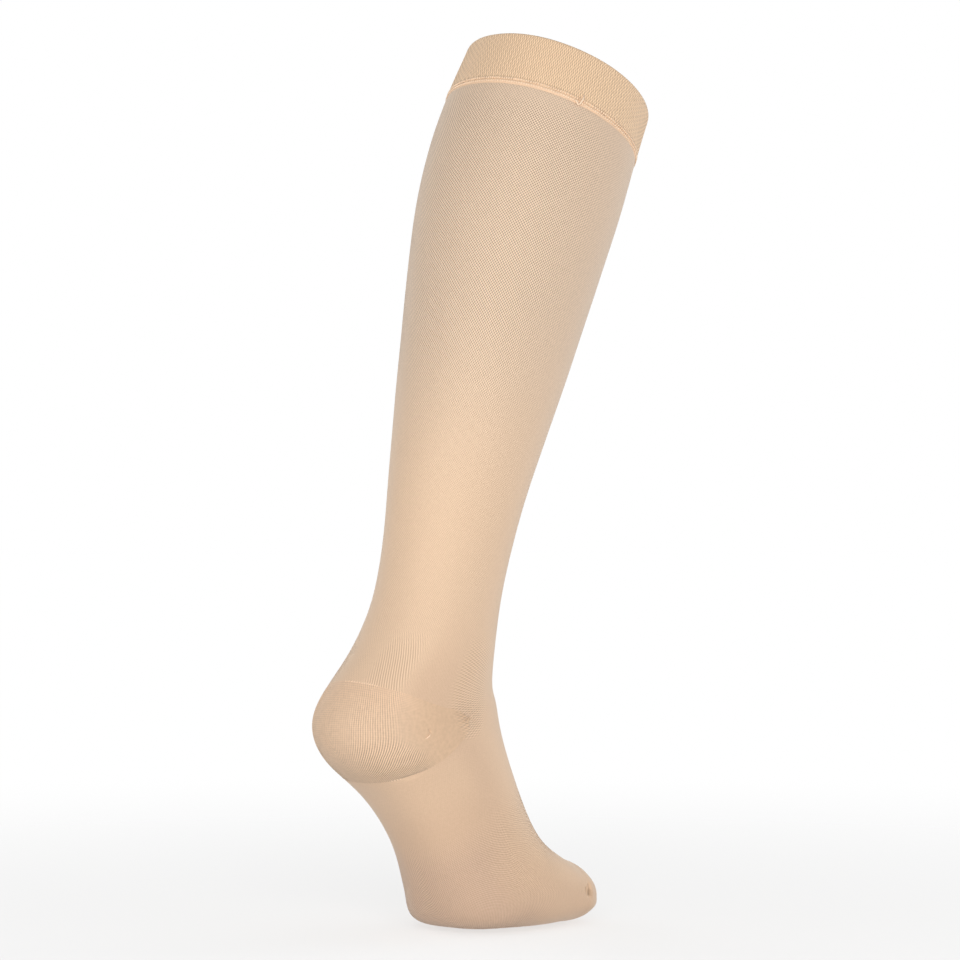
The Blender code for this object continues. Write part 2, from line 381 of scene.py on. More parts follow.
def knit_grid(work, columns, rows, place, stitch):
    """Adds a grid whose points go where place says, with stitch numbers as its UV map.

    place takes arrays u and v, from 0 to 1 across the columns and the rows, and gives stations,
    angles and heights. stitch takes the same u and v and gives wale and course numbers.
    """
    grid = bmesh.ops.create_grid(work, x_segments=columns, y_segments=rows, size=0.5)
    verts = grid["verts"]
    at = np.array([vert.co for vert in verts]) + 0.5
    u, v = at[:, 0], at[:, 1]
    for vert, point in zip(verts, off_skin(*place(u, v))):
        vert.co = point
    wales, courses = stitch(u, v)
    number = {vert: (wale, course) for vert, wale, course in zip(verts, wales, courses)}
    layer = work.loops.layers.uv.get("knit") or work.loops.layers.uv.new("knit")
    for face in {face for vert in verts for face in vert.link_faces}:
        for loop in face.loops:
            loop[layer].uv = number[loop.vert]


def close_up(work):
    """Joins the edges that meet, and drops the faces that the toe's tip has closed."""
    bmesh.ops.remove_doubles(work, verts=work.verts, dist=MERGE_DISTANCE * MM)
    bmesh.ops.dissolve_degenerate(work, edges=work.edges, dist=MERGE_DISTANCE * MM)


def give_wall(piece, wall):
    """Gives a sheet its thickness, inwards."""
    thickness = piece.modifiers.new("Knit thickness", "SOLIDIFY")
    thickness.thickness = wall * MM
    thickness.offset = -1


def between(start, end, share):
    return start * (1 - share) + end * share


def along_rows(v, start, *stretches):
    """Stations for v from 0 to 1, where each stretch is its count of rows and its last station."""
    row = v * sum(rows for rows, end in stretches)
    station, begin, done = start + 0 * v, start, 0
    for rows, end in stretches:
        station = station + (end - begin) * np.clip((row - done) / rows, 0, 1)
        begin, done = end, done + rows
    return station


def stitch_loop(work, middle, along, out, length, width, height):
    """Adds one loop of thread: a small long bead that lies along a direction."""
    along = along.normalized()
    side = out.cross(along).normalized()
    out = along.cross(side)
    turn = Matrix((along, side, out)).transposed().to_4x4()
    size = Matrix.Diagonal((length / 2 * MM, width / 2 * MM, height / 2 * MM, 1))
    place = Matrix.Translation(middle) @ turn @ size
    bmesh.ops.create_uvsphere(work, u_segments=6, v_segments=5, radius=1, matrix=place)


def thread(work, points, thickness, sides=6):
    """Adds a short free thread end through points, as a chain of rounded rings."""
    points = [Vector(point) for point in points]
    rings = []
    for i, point in enumerate(points):
        run = (points[min(i + 1, len(points) - 1)] - points[max(i - 1, 0)]).normalized()
        side = run.orthogonal().normalized()
        other = run.cross(side)
        taper = 0.55 if i in (0, len(points) - 1) else 1.0
        radius = thickness / 2 * taper * MM
        ring = []
        for k in range(sides):
            turn = 2 * math.pi * k / sides
            off = side * math.cos(turn) + other * math.sin(turn)
            ring.append(work.verts.new(point + off * radius))
        rings.append(ring)
    edges = []
    for ring in rings:
        edges += [work.edges.new((ring[k], ring[(k + 1) % sides])) for k in range(sides)]
    for i in range(len(rings) - 1):
        pair = edges[i * sides : (i + 2) * sides]
        bmesh.ops.bridge_loops(work, edges=pair)
    bmesh.ops.contextual_create(work, geom=rings[0])
    bmesh.ops.contextual_create(work, geom=rings[-1])


# ---------------------------------------------------------------------------------------------
# Finishes


class Field:
    """A number that varies over a surface. Arithmetic on it adds Math nodes."""

    def __init__(self, finish, socket):
        self.finish = finish
        self.socket = socket

    def math(self, operation, *values):
        return self.finish.node("ShaderNodeMath", {"operation": operation}, dict(enumerate(values)))

    def __add__(self, other):
        return self.math("ADD", self, other)

    def __radd__(self, other):
        return self.math("ADD", other, self)

    def __sub__(self, other):
        return self.math("SUBTRACT", self, other)

    def __rsub__(self, other):
        return self.math("SUBTRACT", other, self)

    def __mul__(self, other):
        return self.math("MULTIPLY", self, other)

    def __rmul__(self, other):
        return self.math("MULTIPLY", other, self)

    def __truediv__(self, other):
        return self.math("DIVIDE", self, other)

    def cos(self):
        return self.math("COSINE", self)

    def absolute(self):
        return self.math("ABSOLUTE", self)

    def positive(self):
        return self.math("MAXIMUM", self, 0.0)

    def power(self, exponent):
        return self.math("POWER", self, exponent)

    def clamped(self):
        settings = {"operation": "ADD", "use_clamp": True}
        return self.finish.node("ShaderNodeMath", settings, {0: self, 1: 0.0})

    def wave(self, period=1.0):
        """A cosine of this number, 1 at every whole period."""
        return (self * (2 * math.pi / period)).cos()

    def between(self, low, high):
        """0 under low, 1 over high, and smooth from one to the other."""
        settings = {"interpolation_type": "SMOOTHSTEP"}
        inputs = {0: self, 1: low, 2: high, 3: 0.0, 4: 1.0}
        return self.finish.node("ShaderNodeMapRange", settings, inputs)


class Finish:
    """One cloth or thread material, built node by node."""

    def __init__(self, name, roughness, sheen, sheen_color):
        self.material = bpy.data.materials.new(name)
        self.material.use_nodes = True
        self.tree = self.material.node_tree
        self.shader = self.tree.nodes["Principled BSDF"]
        self.shader.inputs["Roughness"].default_value = roughness
        self.shader.inputs["Specular IOR Level"].default_value = 0.3
        self.shader.inputs["Sheen Weight"].default_value = sheen
        self.shader.inputs["Sheen Roughness"].default_value = 0.45
        self.shader.inputs["Sheen Tint"].default_value = (*sheen_color, 1)

    def node(self, kind, settings, inputs, output=0):
        """Adds a node: settings first, then values or links on its sockets."""
        node = self.tree.nodes.new(kind)
        for key, value in settings.items():
            setattr(node, key, value)
        for key, value in inputs.items():
            self.feed(node.inputs[key], value)
        return Field(self, node.outputs[output])

    def feed(self, socket, value):
        if isinstance(value, Field):
            self.tree.links.new(value.socket, socket)
        else:
            socket.default_value = value

    def vector_math(self, operation, *values, output=0):
        settings = {"operation": operation}
        return self.node("ShaderNodeVectorMath", settings, dict(enumerate(values)), output)

    def parts(self, vector):
        """The X, Y and Z of a vector."""
        split = self.node("ShaderNodeSeparateXYZ", {}, {0: vector}).socket.node
        return [Field(self, part) for part in split.outputs]

    def stitches(self):
        """Wale and course numbers, from the piece's own knit map."""
        return self.parts(self.node("ShaderNodeUVMap", {"uv_map": "knit"}, {}))[:2]

    def place(self):
        """Where the surface is, in metres."""
        return self.node("ShaderNodeTexCoord", {}, {}, "Object")

    def noise(self, where, scale, detail=2.0):
        """Smooth noise from 0 to 1 whose features are 1 / scale across."""
        return self.node("ShaderNodeTexNoise", {}, {"Vector": where, "Scale": scale, "Detail": detail})

    def mix(self, share, first, second):
        """One colour into another by a share from 0 to 1."""
        first = first if isinstance(first, Field) else (*first, 1)
        second = second if isinstance(second, Field) else (*second, 1)
        settings = {"data_type": "RGBA", "clamp_factor": True}
        return self.node("ShaderNodeMix", settings, {0: share, 6: first, 7: second}, 2)

    def color(self, value):
        self.feed(self.shader.inputs["Base Color"], value)

    def relief(self, height, depth):
        """Bump of the surface, where the depth is in millimetres."""
        inputs = {"Height": height, "Distance": depth * MM, "Strength": 1.0}
        bump = self.node("ShaderNodeBump", {}, inputs, "Normal")
        self.feed(self.shader.inputs["Normal"], bump)


def leg_finish(settings):
    """Fine knit whose stitches and gaps alternate like a chequer, open where it is stretched, with
    painted shade in the toe creases and under the ball.

    Each pair of limits is the place where a pattern starts or ends: heights in metres, stations,
    or counts of wales from the middle of the front.
    """
    finish = Finish("stocking knit", 0.75, 0.35, (1.0, 0.93, 0.84))
    wale, course = finish.stitches()
    where = finish.place()
    height = finish.parts(where)[2]
    patches = finish.noise(where, 60.0)
    specks = finish.noise(where, 900.0, 1.0)
    wander = (finish.noise(where, 140.0) - 0.5) * 0.9
    from_front = (wale - WALES_ROUND / 2).absolute()

    def stations(first, last):
        """0 before the first of two stations, 1 after the last."""
        return course.between(first / COURSE, last / COURSE)

    mesh = ((wale + wander) * math.pi).cos() * ((course + wander) * math.pi).cos()
    dense = ((wale + wander * 0.5) * (0.85 * math.pi)).cos()
    dense = dense * ((course + wander * 0.5) * (1.25 * math.pi)).cos()
    courses = course.wave(1.4)

    stretched = height.between(-0.26, -0.12)
    side = from_front.between(68.0, 92.0) * (1 - from_front.between(125.0, 150.0))
    at_foot = 1 - (height - 0.035 * side).between(-0.395, -0.325)
    plain = 1 - stations(SEAM_STATION + 1.9, SEAM_STATION + 2.6)
    opening = stations(SEAM_STATION + 2, SEAM_STATION + 20)
    shin = 1 - from_front.between(85.0, 135.0)
    instep = (1 - from_front.between(45.0, 75.0)) * at_foot * (1 - stations(505.0, 540.0))
    ball = stations(428.0, 450.0) * (1 - stations(500.0, 530.0))
    over_heel = from_front.between(138.0, 152.0) * (1 - from_front.between(176.0, 190.0))
    over_heel = over_heel * stations(328.0, 345.0) * (1 - stations(385.0, 400.0))
    upper = (1 - from_front.between(65.0, 110.0)) * at_foot
    # Painted shade under the ball, where the foot faces down to the floor.
    under_ball_shade = ball * from_front.between(95.0, 140.0)

    across = from_front - WALES_ROUND * (0.5 - POCKET_CORNER / 360)
    down = course - POCKET_STATION / COURSE
    reach = across * across + down * down
    corner = 1 - reach.between(10.0, 300.0)
    eyelet = 1 - reach.between(0.5, 6.0)
    above_corner = (1 - (from_front - 84).absolute().between(8.0, 22.0)) * stations(325.0, 350.0)
    above_corner = above_corner * (1 - stations(380.0, 392.0)) * (1 - corner)

    # Painted shade in the crease at each end of the toe seam, and in the second crease beside it.
    lower = from_front.between(83.0, 99.0)
    past = (course - TOE_SEAM_START / COURSE).absolute() * (1.6 - 1.05 * lower)
    toe_crease_shade = (1 - past.between(0.3, 1.3)) * (0.5 + 0.5 * lower)
    toe_crease_shade = toe_crease_shade * from_front.between(82.0, 86.0) * (1 - from_front.between(101.0, 103.0))
    second = (course - (TOE_SEAM_START - 2.8) / COURSE).absolute()
    second_crease_shade = (1 - second.between(0.25, 0.9)) * from_front.between(88.0, 94.0)
    second_crease_shade = second_crease_shade * (1 - from_front.between(99.0, 102.0))

    calf_mesh = 0.8 * stretched * (0.3 + 0.7 * opening) * (1 - 0.75 * shin)
    open_mesh = mesh * (0.06 + calf_mesh) * (1 - plain)
    net = (wale * (CORNER_NET.x * math.pi)).cos() * (course * (CORNER_NET.y * math.pi)).cos()
    slanted = (from_front / 2.4 + course / 2.7).wave() * over_heel
    closed = 0.45 * (1 - stretched) * (1 - 0.9 * at_foot) * (1 - 0.7 * over_heel)
    closed = closed * (1 - 0.55 * stations(325.0, 345.0)) + 0.8 * ball
    closed = closed * (1 - 0.8 * above_corner) * (1 - corner)
    closed_mesh = dense * closed + net * (1.6 * corner + 0.9 * above_corner) + 0.7 * slanted
    knitted = (open_mesh + closed_mesh) * (0.5 + patches) + 0.28 * courses * instep
    weave = 0.5 + knitted + (specks - 0.5) * 0.35 - 0.9 * eyelet

    foot = finish.mix(at_foot, settings.ankle_color, settings.foot_color)
    # Painted shade darkens the underside of the ball.
    foot = finish.mix(under_ball_shade, foot, settings.tread_shade_color)
    foot = finish.mix(upper, foot, settings.instep_color)
    under_heel = stations(394.0, 404.0) * (1 - stations(412.0, 432.0)) * from_front.between(95.0, 115.0)
    foot = finish.mix(0.6 * under_heel, foot, settings.instep_color)
    yarn = finish.mix(stretched, foot, settings.calf_color)
    shade = finish.mix(stretched, settings.gap_shade, settings.open_gap_shade)
    gap = finish.vector_math("MULTIPLY", yarn, shade)
    knit = finish.mix(weave.clamped(), gap, yarn)
    edged = finish.mix(plain * 0.8, knit, settings.seam_color)
    # The toe creases get painted shade: their colour is mixed towards a dark crease shade.
    finish.color(finish.mix(toe_crease_shade * 0.5 + second_crease_shade * 0.25, edged, settings.crease_shade_color))
    finish.relief((open_mesh + closed_mesh) * 2, 0.06)
    return finish.material


def heel_finish(settings):
    """Denser knit with ribs that sweep to the middle under the heel and fade out at its sides, with
    painted shade along the crease at its lower edge and over its lower part.

    down is the share of the way from the pocket's upper edge to its lower one. beside is in
    degrees from its middle.
    """
    finish = Finish("heel knit", 0.8, 0.3, (1.0, 0.92, 0.82))
    angle, down = finish.stitches()
    where = finish.place()
    height = finish.parts(where)[2]
    beside = angle.absolute()
    above = ((SWEEP_LEVEL - down).positive() / SWEEP_LEVEL).power(2.0)
    below = ((down - SWEEP_LEVEL).positive() / (1 - SWEEP_LEVEL)).power(SWEEP_POWER)
    rib = beside * (1 - RIB_SPREAD * down.between(SPREAD_LEVEL, 1.0))
    rib = rib + SWEEP_ABOVE * above + SWEEP_BELOW * below
    strong = 0.55 + 0.75 * down.between(0.45, 0.75)
    clear = (0.25 + 0.75 * beside.between(6.0, 26.0)) * strong
    clear = clear * (1 - (beside - 10 * down.between(0.5, 0.8)).between(45.0, 59.0))
    ridge = rib.wave(360 / settings.heel_ribs) * clear
    loops = down.wave(POCKET_COURSE / POCKET_HEIGHT)
    specks = finish.noise(where, 500.0, 1.0)
    net = (angle * (CORNER_NET.x * math.pi * WALES_ROUND / 360)).cos()
    net = net * (height * (CORNER_NET.y * math.pi / COURSE / MM)).cos() * beside.between(88.0, 98.0)
    # fold: a dark line of painted shade along the crease at the pocket's lower edge.
    fold = down.between(0.962, 0.98) * beside.between(34.0, 42.0) * (1 - beside.between(46.0, 58.0))
    weave = 0.5 + 0.5 * ridge + 0.08 * loops + (specks - 0.5) * 0.3 + 0.4 * net - 0.45 * fold
    upper = finish.mix(down.between(0.0, 0.35), settings.heel_edge_color, settings.heel_color)
    # Painted shade: the pocket's lower part, which faces down to the sole, is mixed towards a darker
    # colour.
    low = down.between(0.65, 1.0) * (1 - beside.between(60.0, 85.0))
    yarn = finish.mix(low, upper, settings.heel_sole_shade_color)
    yarn = finish.mix(beside.between(50.0, 80.0), yarn, settings.heel_side_color)
    gap = finish.vector_math("MULTIPLY", yarn, tuple(settings.heel_gap_shade))
    finish.color(finish.mix(weave.clamped(), gap, yarn))
    finish.relief(0.3 * loops + ridge, 0.08)
    return finish.material


def band_finish(settings, last_course):
    """Double knit with ribs, where the stitches of neighbouring columns stand a step apart."""
    finish = Finish("band knit", 0.8, 0.3, (1.0, 0.9, 0.78))
    wale, course = finish.stitches()
    dashes = (wale * math.pi).cos() * (course * math.pi).cos()
    ribs = wale.wave(BAND_STITCHES)
    specks = finish.noise(finish.place(), 500.0, 1.0)
    from_seam = (last_course - course) * BAND_COURSE
    # A dotted row of painted shade along the band's furrow above the seam.
    furrow_shade_dots = 1 - (from_seam - BAND_FURROW_ROW).absolute().between(0.2, 0.6)
    furrow_shade_dots = furrow_shade_dots * (0.6 + 0.4 * wale.wave(2.0))
    weave = 0.5 + 0.75 * dashes + 0.12 * ribs + (specks - 0.5) * 0.25 - 0.55 * furrow_shade_dots
    finish.color(finish.mix(weave.clamped(), settings.band_gap_color, settings.band_color))
    finish.relief(dashes + ribs, 0.06)
    return finish.material


def thread_finish(name, light, dark):
    """Twisted thread."""
    finish = Finish(name, 0.7, 0.3, (1.0, 0.95, 0.88))
    shade = finish.noise(finish.place(), 700.0, 1.0)
    finish.color(finish.mix(shade, dark, light))
    finish.relief(shade, 0.05)
    return finish.material


def floor_finish():
    """Pale paper that glows: faintly near the stocking, and white further away, where it goes over into
    the white surroundings.
    """
    finish = Finish("pale floor", 0.9, 0.0, (1, 1, 1))
    from_middle = finish.vector_math("SUBTRACT", finish.place(), FLOOR_MIDDLE)
    away = finish.vector_math("LENGTH", from_middle, output=1).between(0.15, 1.3)
    finish.color(finish.mix(away, (0.9, 0.9, 0.9), (0, 0, 0)))
    # The floor glows though it is no lamp: 0.17 near the stocking, lifting the shade there, and full
    # white far away.
    glow = finish.mix(away, (0.17, 0.17, 0.17), (1, 1, 1))
    finish.feed(finish.shader.inputs["Emission Color"], glow)
    finish.shader.inputs["Emission Strength"].default_value = 1.0
    finish.shader.inputs["Alpha"].default_value = 0.55
    finish.shader.inputs["Specular IOR Level"].default_value = 0.0
    return finish.material


# ---------------------------------------------------------------------------------------------
# Settings


def count(name, description, default, low, high):
    return IntProperty(name=name, description=description, default=default, min=low, max=high)


def measure(name, description, default, low, high):
    description += ", in millimetres"
    return FloatProperty(name=name, description=description, default=default, min=low, max=high)


def paint(name, description, default):
    return FloatVectorProperty(
        name=name, description=description, default=default, subtype="COLOR", size=3, min=0, max=1
    )


def spot(name, description, default):
    return FloatVectorProperty(
        name=name, description=description, default=default, subtype="XYZ", unit="LENGTH"
    )


def lamp_power(name, description, default):
    return FloatProperty(name=name, description=description, default=default, unit="POWER")


class StockingSettings(bpy.types.PropertyGroup):
    knit_wall: measure("Knit wall", "Thickness of the leg and foot", 1.0, 0.4, 3)
    pocket_wall: measure("Heel wall", "Thickness of the heel pocket", 1.2, 0.4, 3)
    band_ribs: count("Band ribs", "Upright ribs of stitches round the band", 172, 80, 300)
    band_relief: measure("Band relief", "Height of the band's ribs", 0.07, 0, 0.5)
    heel_ribs: count("Heel ribs", "Ribs of the heel pocket in a full turn", 188, 60, 300)
    rib_relief: measure("Heel relief", "Height of the heel's ribs", 0.08, 0, 0.5)
    seam_stitches: count("Seam stitches", "Linking stitches round the band's seam", 236, 100, 400)
    calf_color: paint("Calf yarn", "Colour of the stitches at the top of the calf", (0.90, 0.685, 0.505))
    ankle_color: paint("Ankle yarn", "Colour of the stitches at the ankle", (0.845, 0.62, 0.437))
    foot_color: paint("Foot yarn", "Colour of the stitches of the foot", (0.758, 0.538, 0.376))
    instep_color: paint("Instep yarn", "Colour of the stitches over the instep", (0.86, 0.622, 0.432))
    # Painted shade: a darker colour under the ball, where the foot faces down.
    tread_shade_color: paint("Tread yarn", "Colour of the stitches under the ball", (0.685, 0.484, 0.352))
    gap_shade: paint("Gaps", "How much darker the gaps between dense stitches are", (0.70, 0.66, 0.62))
    open_gap_shade: paint("Open gaps", "The same where the knit is stretched", (0.40, 0.38, 0.37))
    heel_color: paint("Heel", "Colour of the heel's ribs", (0.885, 0.63, 0.434))
    heel_edge_color: paint("Heel edge", "Colour along the heel's upper edge", (0.955, 0.67, 0.457))
    # Painted shade: a darker colour where the heel faces down to the sole.
    heel_sole_shade_color: paint("Heel sole", "Colour of the heel's ribs at the sole", (0.805, 0.57, 0.385))
    heel_side_color: paint("Heel sides", "Colour towards the heel's corners", (0.885, 0.612, 0.402))
    heel_gap_shade: paint("Heel gaps", "How much darker it is between the ribs", (0.50, 0.49, 0.49))
    heel_stitch_color: paint("Heel stitches", "Colour of the loops at its edges", (0.90, 0.70, 0.53))
    band_color: paint("Band", "Colour of the band's stitches", (0.935, 0.67, 0.438))
    band_gap_color: paint("Band gap", "Colour between the band's stitches", (0.52, 0.36, 0.235))
    seam_color: paint("Seam edge", "Colour of the plain knit under the band", (0.82, 0.58, 0.39))
    thread_color: paint("Thread", "Colour of the seams' thread", (0.96, 0.745, 0.545))
    thread_shade_color: paint("Thread shade", "Darker strands of the thread", (0.78, 0.57, 0.40))
    # Painted shade: the dark colour painted into the crease at each end of the toe seam.
    crease_shade_color: paint("Crease", "Colour in the crease at each end of the toe seam", (0.22, 0.14, 0.08))


class StudioSettings(bpy.types.PropertyGroup):
    lens: FloatProperty(
        name="Lens", description="Focal length on a 36 mm sensor", default=137.6, unit="CAMERA"
    )
    eye: spot("Eye", "Where the camera stands", (-1.4128, 1.6066, -0.2379))
    aim: spot("Aim", "What the camera looks at", (-0.0195, 0.0880, -0.2300))
    ambient: FloatProperty(
        name="Ambient", description="Strength of the light from all round", default=0.37, min=0
    )
    key: lamp_power("Key", "Power of the large light behind the camera", 23.0)
    rim: lamp_power("Rim", "Power of the light beside the backdrop on the right", 13.0)
    top: lamp_power("Top", "Power of the light overhead", 3.0)


# ---------------------------------------------------------------------------------------------
# Pieces

COLUMNS = 200
TUCK_ROWS, LEG_ROWS, EDGE_ROWS, FOOT_ROWS, PINCH_ROWS, DOME_ROWS = 12, 82, 24, 44, 38, 12
EDGE_REACH = 15.0
PINCH_START, PINCH_END = 533.0, 549.0


def leg_and_foot(settings):
    """One seamless tube from the band to the toe, with a hole for the heel pocket."""
    work = bmesh.new()

    def leg(u, v):
        """The first rows are tucked under the band, and the last lie closer together."""
        angle = 360 * u
        end = pocket_edge(POCKET_TOP, angle)
        first, middle = (TUCK_ROWS, SEAM_STATION + 4), (LEG_ROWS, end - EDGE_REACH)
        along = along_rows(v, SEAM_STATION - 1.2, first, middle, (EDGE_ROWS, end))
        tuck = 0.5 * np.clip((SEAM_STATION + 0.3 - along) / 1.5, 0, 1)
        return along, angle, cloth_height(along, angle) - tuck

    def foot(u, v):
        """Rows lie closer together beside the pocket and where the toe seam pinches the cloth."""
        angle = 360 * u
        start = pocket_edge(POCKET_SOLE, angle)
        edge = (EDGE_ROWS, start + EDGE_REACH)
        pinch, dome = (PINCH_ROWS, PINCH_END), (DOME_ROWS, TOE_TIP)
        along = along_rows(v, start, edge, (FOOT_ROWS, PINCH_START), pinch, dome)
        return along, angle, cloth_height(along, angle)

    def stitch(place):
        return lambda u, v: (u * WALES_ROUND, place(u, v)[0] / COURSE)

    knit_grid(work, COLUMNS, TUCK_ROWS + LEG_ROWS + EDGE_ROWS, leg, stitch(leg))
    knit_grid(work, COLUMNS, EDGE_ROWS + FOOT_ROWS + PINCH_ROWS + DOME_ROWS, foot, stitch(foot))
    close_up(work)
    piece = object_from("leg_and_foot_knit", work, leg_finish(settings))
    give_wall(piece, settings.knit_wall)
    dress(piece, "stocking_knit", "leg", "foot")


def heel_pocket(settings):
    """The pocket of ribbed knit that fills the hole at the heel, with its edges tucked under."""
    work = bmesh.new()
    columns, rows = 460, 92
    tucked = 0.7
    last_angle = POCKET_CORNER + 0.4

    def pocket(u, v):
        """The ribs fade out at the edges, towards the corners and along the middle."""
        angle = (2 * u - 1) * last_angle
        upper = pocket_edge(POCKET_TOP, angle) - tucked
        lower = pocket_edge(POCKET_SOLE, angle) + tucked
        along = between(upper, lower, v)
        edge = np.clip(np.minimum(v, 1 - v) * 12, 0, 1)
        spread = 1 - RIB_SPREAD * np.clip((v - SPREAD_LEVEL) / (1 - SPREAD_LEVEL), 0, 1)
        rib_angle = turned(angle) * spread + rib_sweep(v)
        clear = np.clip((turned(angle) - 6) / 20, 0, 1) * np.clip((62 - turned(angle)) / 14, 0, 1)
        rib = np.cos(np.radians(rib_angle * settings.heel_ribs)) * edge * clear
        under = 0.06 * bump_at(np.minimum(along - upper, lower - along), 1.1)
        return along, angle, settings.rib_relief * rib + cloth_height(along, angle) - under

    def stitch(u, v):
        """Degrees from the middle, and the share of the way down."""
        return (2 * u - 1) * last_angle, v

    knit_grid(work, columns, rows, pocket, stitch)
    close_up(work)
    piece = object_from("heel_pocket_knit", work, heel_finish(settings))
    give_wall(piece, settings.pocket_wall)
    dress(piece, "heel_knit", "heel")


def top_band(settings):
    """The welt: two layers of knit, turned in over a soft fold at the rim."""
    work = bmesh.new()
    columns, rows = settings.band_ribs * 8, 48
    foot = SEAM_STATION - 0.1
    fold = BAND_WALL / 2
    outer, turn = foot - fold, math.pi * fold
    lap = 2 * outer + turn

    def welt(u, v):
        """v runs up the inside, over the fold and down the outside."""
        angle = 360 * u
        run = v * lap
        inside = np.clip(run / outer, 0, 1)
        over = np.clip((run - outer) / turn, 0, 1) * math.pi
        outside = np.clip((run - outer - turn) / outer, 0, 1)
        along = fold - fold * np.sin(over) + outer * (1 - inside) + outer * outside
        facing = -np.cos(over)
        out = BAND_PROUD - fold + fold * facing
        rib = settings.band_relief * np.cos(2 * math.pi * settings.band_ribs * u) * facing
        sunk = settings.band_relief * (facing > 0)
        drawn_in = 0.3 * bump_at(along - foot, 1.6)
        furrow = 0.25 * bump_at(along - foot + BAND_FURROW_ROW, 0.4)
        settle = (drawn_in + furrow) * (facing > 0)
        return along, angle, out + rib - sunk - settle + worn(along, angle)

    def stitch(u, v):
        return u * settings.band_ribs * BAND_STITCHES, v * lap / BAND_COURSE

    knit_grid(work, columns, rows, welt, stitch)
    close_up(work)
    piece = object_from("top_band_knit", work, band_finish(settings, lap / BAND_COURSE))
    dress(piece, "band_knit", "top_band")


# shift: a share of one stitch, so that the loops of the two rows alternate.
LoopRow = namedtuple("LoopRow", "station height shift width")
LOOP_ROWS = (LoopRow(SEAM_STATION - 0.8, 0.3, 0.0, 1.0), LoopRow(SEAM_STATION + 0.9, 0.22, 0.5, 1.1))
# Each thread end runs through points, given by station, angle and height.
BAND_THREAD_ENDS = (
    ((31, -64, 0.8), (29.8, -64.6, 1.2), (28, -65.1, 1.4), (26.2, -65.6, 1.3), (24, -65.5, 0.9)),
    ((31.2, -64.2, 0.8), (30.6, -63.2, 1.1), (29.5, -62.2, 1.0), (28.7, -61.6, 0.8)),
)
HEEL_THREAD_END = ((385.9, 69.0, 0.0), (385.6, 70.6, 0.3), (385.0, 72.2, 0.4), (384.3, 73.6, 0.1))


def band_seam(settings):
    """Two rows of linking loops under the band, with the ends of their thread."""
    work = bmesh.new()
    stitches = settings.seam_stitches
    for row in LOOP_ROWS:
        angles = 360 * (np.arange(stitches) + row.shift) / stitches
        places = off_skin(row.station, angles, row.height + worn(row.station, angles))
        normals = skin_normal(row.station + 0 * angles, angles)
        for i in range(stitches):
            ahead = Vector(places[(i + 1) % stitches] - places[i]).normalized()
            out = Vector(normals[i])
            down = out.cross(ahead)
            stitch_loop(work, Vector(places[i]), down + ahead * 0.3, out, 1.55, row.width, 0.7)
    for path in BAND_THREAD_ENDS:
        thread(work, [off_skin(along, angle, out) for along, angle, out in path], 1.2)
    finish = thread_finish("linking thread", settings.thread_color, settings.thread_shade_color)
    piece = object_from("band_seam_stitches", work, finish)
    dress(piece, "seam_thread", "band_seam")


def toe_seam(settings):
    """Linking stitches that close the toe, from side to side round its front."""
    work = bmesh.new()
    steps = 52
    first = TOE_SEAM_START + 3.4
    tip_share = 0.985  # the two sides end just short of the tip
    shares = np.sin(np.linspace(0, math.pi / 2, steps))
    stations = first + (TOE_TIP - first) * tip_share * shares
    path = [(station, -90.0) for station in stations] + [(station, 90.0) for station in stations[::-1]]
    points = [Vector(off_skin(station, angle, worn(station, angle) - 0.2)) for station, angle in path]
    normals = [Vector(skin_normal(station, angle)) for station, angle in path]
    for before, after, out in zip(points, points[1:], normals):
        run = after - before
        slant = run.normalized() + out.cross(run).normalized() * 0.5
        stitch_loop(work, (before + after) / 2, slant, out, run.length / MM * 1.5 + 0.3, 0.75, 0.5)
    finish = thread_finish("toe thread", settings.ankle_color, settings.foot_color)
    piece = object_from("toe_seam_stitches", work, finish)
    dress(piece, "seam_thread", "toe_seam")


def heel_stitches(settings):
    """Small loops that show along the edges of the heel pocket, and its thread end at each side."""
    work = bmesh.new()
    runs = ((POCKET_TOP, -28, 4), (POCKET_SOLE, -35, -25), (POCKET_SOLE, 25, 35))
    for edge, first, last in runs:
        for angle in np.arange(first, last, 2.5):
            station = pocket_edge(edge, angle)
            place = Vector(off_skin(station, angle, cloth_height(station, angle)))
            out = Vector(skin_normal(station, angle))
            down = Vector(skin(station + 1, angle) - skin(station, angle))
            stitch_loop(work, place, down, out, 1.2, 0.8, 0.4)
    for side in (-1, 1):
        path = [off_skin(along, side * angle, out) for along, angle, out in HEEL_THREAD_END]
        thread(work, path, 0.7)
    finish = thread_finish("heel thread", settings.heel_stitch_color, settings.heel_color)
    piece = object_from("heel_pocket_stitches", work, finish)
    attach(piece, "root")


# ---------------------------------------------------------------------------------------------
# Stage


def placed(name, data, where, aim):
    """Puts a camera or a light at a place, so that it faces a point."""
    made = bpy.data.objects.new(name, data)
    bpy.context.scene.collection.objects.link(made)
    look = Vector(aim) - Vector(where)
    turn = look.to_track_quat("-Z", "Y").to_matrix().to_4x4()
    made.matrix_world = Matrix.Translation(where) @ turn
    return made


def soft_light(name, where, aim, size, power):
    """A large square light that faces a point and can't be seen itself."""
    lamp = bpy.data.lights.new(name, "AREA")
    lamp.shape = "SQUARE"
    lamp.size = size
    lamp.energy = power
    placed(name, lamp, where, aim).visible_camera = False


def beside(studio, degrees, distance, height):
    """A point on a circle round the stocking, counted from the camera's side."""
    eye, aim = Vector(studio.eye), Vector(studio.aim)
    away = Vector((eye.x - aim.x, eye.y - aim.y, 0)).normalized()
    away.rotate(Matrix.Rotation(math.radians(degrees), 3, "Z"))
    return aim + away * distance + Vector((0, 0, height))


